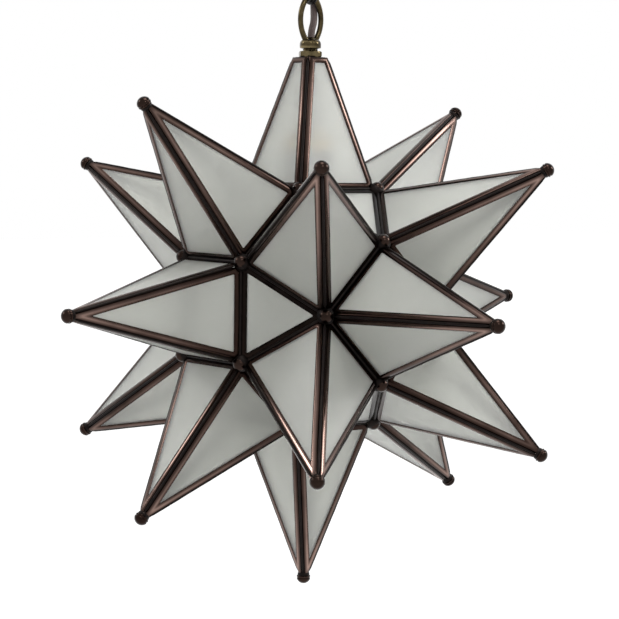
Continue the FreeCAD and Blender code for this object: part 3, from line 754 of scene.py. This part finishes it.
class STAR_OT_stage(bpy.types.Operator):
    """Makes the pale floor, the lamps and the world"""

    bl_idname = "star.stage"
    bl_label = "Stage"

    def execute(self, context):
        deselect()
        floor_drop = 1.3          # below the lowest tip, as the lamp hangs free
        floor_glow = 0.68         # lifts the lit floor to white where the backdrop is seen
        object_light = 0.5        # the world's level on the lamp itself
        white = (1, 1, 1, 1)
        bpy.ops.mesh.primitive_plane_add(size=60, location=(0, 0, cad_box[0][2] - floor_drop))
        floor = context.object
        floor.name = "floor"
        material, tree, shader = new_material("Matt white paint")
        feed(tree, shader, {
            "Base Color": linear("#e6e6e6"), "Roughness": 0.9, "Emission Color": white,
            "Emission Strength": calculated(tree, "MULTIPLY", self.seen_rays(tree), floor_glow),
        })
        floor.data.materials.append(material)

        world = bpy.data.worlds.new("studio")
        world.use_nodes = True
        tree = world.node_tree
        background = next(node for node in tree.nodes if node.type == "BACKGROUND")
        level = spread(tree, self.seen_rays(tree), object_light, 1.0, 0.0, 1.0)
        feed(tree, background, {"Color": white, "Strength": level})
        context.scene.world = world

        for name, place, size, power in (
            ("right_lamp", (1.6, -1.1, 1.0), 0.6, 19.0),
            ("left_lamp", (-1.5, 1.2, 1.1), 0.5, 9.5),
            ("front_lamp", (-0.6, -1.7, 1.4), 0.35, 5.5),
            ("top_lamp", (-0.1, -0.45, 2.1), 1.0, 24.0),
        ):
            data = bpy.data.lights.new(name, "AREA")
            data.size = size
            data.energy = power
            lamp = bpy.data.objects.new(name, data)
            context.collection.objects.link(lamp)
            lamp.location = Vector(place) + STAR_CENTRE
            lamp.rotation_euler = (STAR_CENTRE - lamp.location).to_track_quat("-Z", "Y").to_euler()
        context.scene.view_settings.view_transform = "Standard"
        return {"FINISHED"}

    @staticmethod
    def seen_rays(tree):
        """1 for the rays that show the backdrop: straight, in metal and through glass."""
        path = add_node(tree, "ShaderNodeLightPath", {})
        direct = calculated(tree, "MAXIMUM", path.outputs["Is Camera Ray"], path.outputs["Is Glossy Ray"])
        return calculated(tree, "MAXIMUM", direct, path.outputs["Is Transmission Ray"])


class STAR_OT_cord(bpy.types.Operator):
    """Runs the lamp cord from the star's hub, past the chain link, to the canopy"""

    bl_idname = "star.cord"
    bl_label = "Lamp cord"

    def execute(self, context):
        sizes = context.scene.star_sizes
        upper_pivot = Vector(JOINTS["link_swing"]["pos_m"])
        lower_pivot = Vector(JOINTS["star_swing"]["pos_m"])
        reach = Vector((0, 0, 10 * MM))
        for name, route, bodies, pivot in (
            ("cord_low", CORD_LOW_ROUTE, ("star_body", "link_body"), lower_pivot),
            ("cord_high", CORD_HIGH_ROUTE, ("link_body", "canopy_body"), upper_pivot),
        ):
            points = self.spline_points(context, route)
            piece = self.tube(context, f"lamp_{name}", points, sizes.cord / 2)
            pick(piece)
            bpy.ops.object.shade_smooth_by_angle(angle=math.radians(50))
            piece.data.materials.append(finishes()["cord"])
            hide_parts(name)
            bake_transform(piece, *bodies, start=pivot - reach, end=pivot + reach)
        return {"FINISHED"}

    @staticmethod
    def spline_points(context, route):
        """Points along the smooth line of a route."""
        data = bpy.data.curves.new("route", "CURVE")
        data.dimensions = "3D"
        data.resolution_u = 12
        spline = data.splines.new("NURBS")
        spline.points.add(len(route) - 1)
        for point, place in zip(spline.points, route):
            point.co = (*place, 1)
        spline.order_u = 3
        spline.use_endpoint_u = True
        line = bpy.data.objects.new("route", data)
        context.collection.objects.link(line)
        context.view_layer.update()
        mesh = bpy.data.meshes.new_from_object(line.evaluated_get(context.evaluated_depsgraph_get()))
        points = [vertex.co.copy() for vertex in mesh.vertices]
        bpy.data.objects.remove(line, do_unlink=True)
        bpy.data.meshes.remove(mesh)
        return points

    @staticmethod
    def tube(context, name, points, radius):
        """A closed tube along points, with a UV map in threads round and along."""
        sides = turns(20)
        thread = 0.6 * MM
        around = round(2 * math.pi * radius / thread)
        mesh = bmesh.new()
        uv = mesh.loops.layers.uv.new("UVMap")
        rings = []
        lengths = [0.0]
        across = Vector((1, 0, 0))
        for index, point in enumerate(points):
            before = points[max(index - 1, 0)]
            after = points[min(index + 1, len(points) - 1)]
            heading = (after - before).normalized()
            across = (across - heading * across.dot(heading)).normalized()
            side = heading.cross(across)
            if index:
                lengths.append(lengths[-1] + (point - before).length)
            rings.append([
                mesh.verts.new(point + (across * math.cos(turn) + side * math.sin(turn)) * radius)
                for turn in sides
            ])
        for index, (low, high) in enumerate(zip(rings, rings[1:])):
            for step in range(len(sides)):
                following = (step + 1) % len(sides)
                face = mesh.faces.new((low[step], low[following], high[following], high[step]))
                marks = ((step, index), (step + 1, index), (step + 1, index + 1), (step, index + 1))
                for loop, (turn, ring) in zip(face.loops, marks):
                    loop[uv].uv = (around * turn / len(sides), lengths[ring] / thread)
        mesh.faces.new(reversed(rings[0]))
        mesh.faces.new(rings[-1])
        bmesh.ops.recalc_face_normals(mesh, faces=mesh.faces)
        data = bpy.data.meshes.new(name)
        mesh.to_mesh(data)
        mesh.free()
        piece = bpy.data.objects.new(name, data)
        context.collection.objects.link(piece)
        return piece


class STAR_OT_frames(bpy.types.Operator):
    """Makes the channel frames of the points and of the flat triangles"""

    bl_idname = "star.frames"
    bl_label = "Channel frames"

    def execute(self, context):
        sizes = context.scene.star_sizes
        whole, short, flat = star_panes(sizes)
        patterns = {"whole": channel("whole", whole), "short": channel("short", short)}
        flat_pattern = channel("flat", flat)
        for name, axis in axes().items():
            pattern = patterns["short" if name == "top" else "whole"]
            summit = point_summit(sizes, name, axis)
            ring = feet(sizes, axis, 4)
            sides = [copied(pattern, stood(start, end, summit)) for start, end in pairs_round(ring)]
            node = f"{name}_point_frames"
            piece = joined(f"{name}_point_channels", sides)
            finished(piece, body_of(node), "bronze", finishes()["bronze"], node)
        flats = [copied(flat_pattern, stood(*feet(sizes, axis, 3))) for axis in triangle_axes()]
        piece = joined("triangle_channels", flats)
        # The triangle frames get the bronze darkened as painted shade.
        finished(piece, "star_body", "bronze", finishes()["recess"], "triangle_frames")
        discard(flat_pattern, *patterns.values())
        return {"FINISHED"}


class STAR_OT_solder(bpy.types.Operator):
    """Runs the solder lines in the grooves of the ridges and between the feet of the points"""

    bl_idname = "star.solder"
    bl_label = "Solder lines"

    def execute(self, context):
        sizes = context.scene.star_sizes
        whole, short, _ = star_panes(sizes)
        foot_gap = sizes.bead / 2 - 0.6 * MM        # a line ends just inside its bead
        patterns = {}
        for label, pane, rise in (("whole", whole, sizes.point_height), ("short", short, sizes.top_height)):
            slope = math.hypot(pane.height, pane.half)
            depth = sizes.came_thickness / math.sin(ridge_angle(sizes, rise) / 2) - sizes.solder * 0.55
            end_gap = pane.summit_cut * slope / pane.height + 0.8 * MM        # and short of the blunt end
            line = self.solder_line(label, sizes.solder / 2, foot_gap, slope - end_gap)
            line.data.transform(Matrix.Translation((-depth, 0, 0)))
            patterns[label] = line
        for name, axis in axes().items():
            pattern = patterns["short" if name == "top" else "whole"]
            summit = point_summit(sizes, name, axis)
            lines = []
            for corner in feet(sizes, axis, 4):
                outward = corner - axis * corner.dot(axis)
                lines.append(copied(pattern, self.laid(corner, summit, outward)))
            soldered(f"{name}_point_solder", lines, body_of(f"{name}_point_frames"))
        seam = self.solder_line("seam", sizes.seam / 2, foot_gap, sizes.base_edge - foot_gap)
        runs = (("foot_solder", 0.2 * sizes.seam, False), ("hatch_stop_solder", 0.7 * MM, True))
        for name, sunk, hatch in runs:
            seam.data.transform(Matrix.Translation((-sunk, 0, 0)))        # each run deeper than the last
            soldered(name, [copied(seam, self.laid(*line)) for line in foot_seams(sizes, hatch)])
        discard(seam, *patterns.values())
        return {"FINISHED"}

    @staticmethod
    def laid(start, end, outward):
        """The matrix that lays a line of solder from one place to another, with X outwards."""
        along = (end - start).normalized()
        outward = (outward - along * outward.dot(along)).normalized()
        place = Matrix((outward, along.cross(outward), along)).transposed().to_4x4()
        place.translation = start + STAR_CENTRE
        return place

    @staticmethod
    def solder_line(name, radius, start, end):
        """A lumpy round line of solder along Z, thin at its ends."""
        steps = 30
        loops = []
        for step in range(steps + 1):
            share = step / steps
            swell = 1 + 0.07 * math.sin(share * 41) * math.sin(share * 17 + 1)        # the lumps
            taper = 0.35 if step in (0, steps) else 1.0
            loops.append(circle(radius * swell * taper, start + (end - start) * share, 8))
        return lofted(name, loops)


class STAR_OT_beads(bpy.types.Operator):
    """Makes the beads on the core's joints and the buttons on the points"""

    bl_idname = "star.beads"
    bl_label = "Beads and buttons"

    def execute(self, context):
        sizes = context.scene.star_sizes
        radius = sizes.bead / 2
        cast = finishes()["cast"]
        ball = arc((0, 0), radius, -80, 80, 14)
        bead = turned("bead", ball, steps=24, wear_and_highlight=[0.25 + 0.5 * max(0.0, z / radius) for _, z in ball])
        beads = [set_on(bead, corner) for corner in corners(sizes)]
        lean = math.atan2(sizes.base_edge / 2, sizes.point_height)
        seat = foot_distance(sizes) + sizes.point_height - sizes.tip_cut * math.cos(lean) + 2 * GAP
        spots = {name: axis * seat for name, axis in axes().items() if name != "top"}
        button = self.button(radius)
        buttons = {name: set_on(button, spot) for name, spot in spots.items()}
        lowest = buttons.pop("bottom")
        piece = joined("beads_and_tip_buttons", beads + list(buttons.values()))
        finished(piece, "star_body", "bronze", cast, "beads_and_buttons", angle=50)
        lowest = joined("lowest_tip_button", [lowest])
        finished(lowest, "hatch_body", "bronze", cast, "bottom_tip_button", angle=50)
        discard(bead, button)
        self.solder_under(sizes, spots)
        return {"FINISHED"}

    @staticmethod
    def solder_under(sizes, spots):
        """The solder that closes the joints under the beads and under the buttons."""
        swell = 1.2 * MM
        sunk = 2.2 * MM
        pool = turned("pool", arc((0, -sunk), sizes.bead / 2 + swell, -60, 70, 10), steps=24)
        soldered("joint_solder", [set_on(pool, corner) for corner in corners(sizes)], angle=50)
        outline = ((1.0, -3.0), (3.4, -2.6), (4.0, -1.4), (4.1, -0.3), (3.7, 0.3), (1.0, 0.4))        # mm
        plug = turned("plug", [(reach * MM, height * MM) for reach, height in outline], steps=24)
        plugs = {name: set_on(plug, spot) for name, spot in spots.items()}
        soldered("lowest_tip_solder", [plugs.pop("bottom")], "hatch_body", angle=50)
        soldered("tip_solder", list(plugs.values()), angle=50)
        discard(pool, plug)

    @staticmethod
    def button(radius):
        """A domed button with a rolled skirt."""
        skirt = 2.3 * MM
        dome = 3.4 * MM
        dome_radius = (radius ** 2 + dome ** 2) / (2 * dome)
        middle = skirt + dome - dome_radius
        edge = math.degrees(math.asin((skirt - middle) / dome_radius))
        lip = 0.35 * MM
        neck = radius - 0.8 * lip
        profile = [
            (radius * 0.5, 0), (radius - lip, 0), (radius, lip), (radius, skirt * 0.42), (neck, skirt * 0.55),
            (neck, skirt * 0.72), (radius - lip * 0.2, skirt * 0.88),
        ] + arc((0, middle), dome_radius, edge + 4, 84, 8)
        wear_and_highlight = [0, 0.2, 0.8, 0.7, 0, 0, 0.6] + [0.5] * 9
        return turned("button", profile, steps=28, wear_and_highlight=wear_and_highlight)


class STAR_OT_glass(bpy.types.Operator):
    """Gives the panes their etched glass"""

    bl_idname = "star.glass"
    bl_label = "Glass panes"

    def execute(self, context):
        for node in frame["nodes"]:
            if node.endswith("_glass") and node != "bulb_glass":
                repaint(node, finishes()["glass"])
        return {"FINISHED"}


def oval_line(half_width, half_height, end_radius, count):
    """Evenly spaced points and outward directions round an oval of four arcs, in the XZ plane."""
    rise = half_height - end_radius
    flare = half_width - end_radius
    side_radius = (rise ** 2 + flare ** 2) / (2 * flare) + end_radius
    half_turn = math.atan2(rise, side_radius - half_width)
    side_run = side_radius * half_turn
    quarter = side_run + end_radius * (math.pi / 2 - half_turn)
    found = []
    for step in range(count):
        run = 4 * quarter * step / count
        quadrant = int(run / quarter)
        along = run - quadrant * quarter
        if quadrant % 2:
            along = quarter - along
        if along <= side_run:
            turn = along / side_radius
            middle = (half_width - side_radius, 0)
            radius = side_radius
        else:
            turn = half_turn + (along - side_run) / end_radius
            middle = (0, rise)
            radius = end_radius
        x = middle[0] + radius * math.cos(turn)
        z = middle[1] + radius * math.sin(turn)
        flip_x = 1 if quadrant in (0, 3) else -1
        flip_z = 1 if quadrant < 2 else -1
        found.append((
            Vector((x * flip_x, 0, z * flip_z)),
            Vector((math.cos(turn) * flip_x, 0, math.sin(turn) * flip_z)),
        ))
    return found


def wire_ring(name, line, side, radius, swell=None):
    """A closed round wire along (point, outward) pairs whose plane is square to side."""
    loops = []
    for point, outward in line:
        thick = radius * (swell(point) if swell else 1.0)
        spokes = [outward * math.cos(turn) + side * math.sin(turn) for turn in turns(16)]
        loops.append([point + spoke * thick for spoke in spokes])
    return lofted(name, loops, closed=True, wear_and_highlight=[0.15] * len(loops))


class STAR_OT_hanger(bpy.types.Operator):
    """Makes the plate, nut, tube and ring loop on the star"""

    bl_idname = "star.hanger"
    bl_label = "Star hanger"

    def execute(self, context):
        sizes = context.scene.star_sizes
        brass = finishes()["brass"]
        self.ring_loop(sizes, "star_ring_loop", "star_loop", 1, brass, "aged_brass")
        finished(self.nut(), "star_body", "aged_brass", brass, "lock_nut", angle=30)
        finished(self.plate(), "star_body", "bronze", finishes()["bronze"], "top_plate", angle=40)
        finished(self.tube(), "star_body", "aged_brass", brass, "threaded_tube", angle=60)
        return {"FINISHED"}

    @staticmethod
    def plate():
        """The square plate let in between the top point's frames, with a round hole for the tube."""
        low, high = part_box("top_plate")
        lip = 0.3 * MM
        steps = 32
        loops = []
        for inset, height in ((lip, low[2]), (0, low[2] + lip), (0, high[2] - lip), (lip, high[2])):
            def square(turn, half=high[0] - inset):
                return half / max(abs(math.cos(turn)), abs(math.sin(turn)))

            loops.append(circle(square, height, steps))
        loops += [circle(THREAD_BORE, high[2], steps), circle(THREAD_BORE, low[2], steps)]
        return lofted("let_in_top_plate", loops, closed=True, wear_and_highlight=[0, 0.5, 0.5, 0.2, 0, 0])

    @staticmethod
    def tube():
        """The threaded tube, with a helical thread."""
        low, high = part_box("threaded_tube")
        bore = 3.2 * MM
        pitch = 0.94 * MM
        depth = 0.35 * MM
        rows = 5        # for each turn of the thread
        steps = 20
        count = round((high[2] - low[2]) / pitch * rows)
        loops = [circle(bore, low[2], steps)]
        for row in range(count + 1):
            height = low[2] + (high[2] - low[2]) * row / count

            def thread(turn, climbed=height / pitch):
                phase = (climbed - turn / (2 * math.pi)) % 1
                return high[0] - depth * abs(2 * phase - 1)

            loops.append(circle(thread, height, steps))
        loops.append(circle(bore, high[2], steps))
        return lofted("brass_threaded_tube", loops, closed=True, wear_and_highlight=[0.3] * len(loops))

    @staticmethod
    def nut():
        """A hexagon nut with a bore and turned chamfers."""
        low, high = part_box("lock_nut")
        steps = 48
        flat = (high[1] - low[1]) / 2
        chamfer = 0.5 * MM

        def hexagon(turn):
            return flat / math.cos(turn % (math.pi / 3) - math.pi / 6)

        loops = [circle(reach, height, steps) for reach, height in (
            (THREAD_BORE, low[2]), (flat, low[2]), (hexagon, low[2] + chamfer), (hexagon, high[2] - chamfer),
            (flat, high[2]), (THREAD_BORE, high[2]),
        )]
        return lofted("hex_lock_nut", loops, closed=True, wear_and_highlight=[0, 0.3, 0.5, 0.5, 0.4, 0])

    @staticmethod
    def ring_loop(sizes, name, node, rise, metal, slot):
        """A ring loop with its turned hub, the ring above the hub or below it."""
        low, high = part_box(node)
        wire = sizes.loop_wire / 2
        half_width = 8.55 * MM
        half_height = 15.1 * MM
        end_radius = 5.6 * MM
        sink = 3.8 * MM        # how far the ring stands in the hub
        top = high[2] if rise > 0 else low[2]
        middle = top - rise * (half_height + wire)
        face = middle - rise * (half_height + wire - sink)

        def swell(point):
            share = max(0.0, -rise * point[2] / half_height - 0.3) / 0.7
            return 1 + 0.15 * share ** 2

        line = oval_line(half_width, half_height, end_radius, 72)
        ring = wire_ring(name, line, Vector((0, 1, 0)), wire, swell)
        ring.data.transform(Matrix.Translation((0, 0, middle)))
        hole = 2.7
        hub_height = 6.0
        ball = 4.5
        ball_middle = -2.2
        profile = [        # radius and height in mm, wear, and how deep the flutes are
            (hole, -hub_height, 0, 0), (6.2, -hub_height, 0.2, 0), (6.9, -5.75, 0.8, 0.2),
            (7.1, -5.2, 0.8, 0.6), (7.1, -3.72, 0.1, 1), (7.0, -2.4, 0.2, 1), (6.6, -1.32, 0.7, 0.9),
            (5.9, -0.5, 0.5, 0.6), (4.9, -0.1, 0.1, 0.2), (4.0, 0, 0, 0),
        ]
        start = math.degrees(math.asin(-ball_middle / ball)) + 2
        end = math.degrees(math.acos(hole / ball)) - 2
        profile += [(reach, height, 0.7, 0) for reach, height in arc((0, ball_middle), ball, start, end, 6)]
        loops = []
        for reach, height, _, fluted in profile:
            def flutes(turn, reach=reach * MM, depth=0.04 * fluted):
                return reach * (1 - depth * (1 - abs(math.cos(4 * turn))) ** 1.5)        # eight of them

            loops.append(circle(flutes, height * MM, 64))
        hub = lofted(f"{name}_hub", loops, closed=True, wear_and_highlight=[row[2] for row in profile])
        if rise < 0:
            hub.data.transform(Matrix.Rotation(math.pi, 4, "X"))
        hub.data.transform(Matrix.Translation((0, 0, face)))
        pieces = [ring, hub]
        if rise < 0:
            bore = hole * MM
            outer = THREAD_BORE - GAP
            chamfer = 0.5 * MM
            stem_low = face + hub_height * MM
            pieces.append(turned(f"{name}_stem", [
                (bore, stem_low), (outer, stem_low), (outer, high[2] - chamfer), (outer - chamfer, high[2]),
                (bore, high[2]),
            ], steps=32, closed=True))
        finished(joined(name, pieces), body_of(node), slot, metal, node, angle=40)


class STAR_OT_link(bpy.types.Operator):
    """Makes the chain link"""

    bl_idname = "star.link"
    bl_label = "Chain link"

    def execute(self, context):
        sizes = context.scene.star_sizes
        low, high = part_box("chain_link")
        wire = sizes.link_wire / 2
        bend = (high[1] - low[1]) / 2 - wire
        straight = (high[2] - low[2]) / 2 - wire - bend
        line = []
        steps = 14
        for end in SIGNS:
            for step in range(steps + 1):
                turn = math.pi * step / steps
                outward = Vector((0, end * math.cos(turn), end * math.sin(turn)))
                line.append((outward * bend + Vector((0, 0, end * straight)), outward))
        ring = wire_ring("steel_chain_link", line, Vector((1, 0, 0)), wire)
        ring.data.transform(Matrix.Translation(Vector((0, 0, (low[2] + high[2]) / 2))))
        finished(ring, "link_body", "blackened_steel", finishes()["black"], "chain_link", angle=60)
        return {"FINISHED"}


class STAR_OT_canopy(bpy.types.Operator):
    """Makes the canopy, its collar and its ring loop"""

    bl_idname = "star.canopy"
    bl_label = "Canopy"

    def execute(self, context):
        sizes = context.scene.star_sizes
        black = finishes()["black"]
        STAR_OT_hanger.ring_loop(sizes, "canopy_ring_loop", "canopy_loop", -1, black, "blackened_steel")
        low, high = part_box("screw_collar")
        radius = high[0]
        lip = 0.8 * MM
        groove = 0.5 * MM
        middle = (low[2] + high[2]) / 2
        profile = [
            (THREAD_BORE, low[2]), (radius - lip, low[2]), (radius, low[2] + lip), (radius, middle - groove),
            (radius - 0.4 * MM, middle), (radius, middle + groove), (radius, high[2] - lip),
            (radius - lip, high[2]), (THREAD_BORE, high[2]),
        ]
        collar = turned("knurled_collar", profile, steps=60, closed=True)
        finished(collar, "canopy_body", "blackened_steel", black, "screw_collar", angle=40)
        finished(self.shell(), "canopy_body", "blackened_steel", black, "canopy", angle=40)
        repaint("crossbar", finishes()["zinc"])
        return {"FINISHED"}

    @staticmethod
    def shell():
        """The spun canopy with a rolled rim."""
        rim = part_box("canopy")[1][0]
        wall = 1.2 * MM
        straight = 5.0 * MM
        flat = 15.0 * MM
        depth = 24.0 * MM
        lip = 0.6 * MM

        def side(inset):
            start = Vector((rim - inset, -straight))
            end = Vector((flat, inset - depth))
            bulge = (start + end) / 2 + Vector(((start.x - end.x) * 0.2, (end.y - start.y) * 0.2))
            arc_points = three_point_arc(start, bulge, end, 14)
            return [(start.x, -lip)] + arc_points + [(THREAD_BORE, end.y)]

        profile = [(rim - 0.4 * MM, 0)] + side(0) + side(wall)[::-1] + [(rim - wall, 0)]
        return turned("spun_canopy", profile, steps=72, closed=True)


def three_point_arc(start, through, end, steps):
    """(radius, height) pairs on the circle through three points."""
    sides = ((start, through - end), (through, end - start), (end, start - through))
    spread_out = 2 * sum(point.x * side.y for point, side in sides)
    middle = Vector((
        sum(point.length_squared * side.y for point, side in sides),
        -sum(point.length_squared * side.x for point, side in sides),
    )) / spread_out
    first, last = (math.degrees(math.atan2(*(point - middle).yx)) for point in (start, end))
    if last > first:
        last -= 360
    return arc(middle, (start - middle).length, first, last, steps)


class STAR_OT_inside(bpy.types.Operator):
    """Finishes the lampholder, the bulb, the hinge and the catch"""

    bl_idname = "star.inside"
    bl_label = "Lampholder, bulb and hinge"

    def execute(self, context):
        materials = finishes()
        for node, finish in (
            ("lampholder_cap", "drawn"), ("lampholder_body", "phenolic"), ("lampholder_contacts", "drawn"),
            ("bulb_base", "drawn"), ("bulb_glass", "opal"), ("hinge_leaf_star", "brass"),
            ("hinge_leaf_hatch", "brass"), ("hinge_pin", "brass"), ("hatch_catch", "brass"),
        ):
            repaint(node, materials[finish])
        return {"FINISHED"}


class STAR_PT_panel(bpy.types.Panel):
    """Lists the steps that make the lamp"""

    bl_idname = "STAR_PT_panel"
    bl_label = "Star lamp"
    bl_space_type = "VIEW_3D"
    bl_region_type = "UI"
    bl_category = "Star lamp"

    def draw(self, context):
        for step in STEPS:
            self.layout.operator(step)
        for group in (context.scene.star_sizes, context.scene.star_colours):
            box = self.layout.box()
            for name in group.bl_rna.properties.keys():
                if name not in ("rna_type", "name"):
                    box.prop(group, name)


STEPS = (
    "star.camera", "star.cord", "star.stage", "star.frames", "star.solder", "star.beads", "star.glass",
    "star.hanger", "star.link", "star.canopy", "star.inside",
)
CLASSES = (
    StarSizes, StarColours, STAR_OT_camera, STAR_OT_stage, STAR_OT_cord, STAR_OT_frames, STAR_OT_solder,
    STAR_OT_beads, STAR_OT_glass, STAR_OT_hanger, STAR_OT_link, STAR_OT_canopy, STAR_OT_inside, STAR_PT_panel,
)


def register():
    for cls in CLASSES:
        bpy.utils.register_class(cls)
    bpy.types.Scene.star_sizes = bpy.props.PointerProperty(type=StarSizes)
    bpy.types.Scene.star_colours = bpy.props.PointerProperty(type=StarColours)


def unregister():
    del bpy.types.Scene.star_colours
    del bpy.types.Scene.star_sizes
    for cls in reversed(CLASSES):
        bpy.utils.unregister_class(cls)


def main():
    """Makes the whole lamp."""
    register()
    bpy.ops.star.camera()
    bpy.ops.star.cord()
    bpy.ops.star.stage()
    bpy.ops.star.frames()
    bpy.ops.star.solder()
    bpy.ops.star.beads()
    bpy.ops.star.glass()
    bpy.ops.star.hanger()
    bpy.ops.star.link()
    bpy.ops.star.canopy()
    bpy.ops.star.inside()
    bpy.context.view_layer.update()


if __name__ == "__main__":
    main()
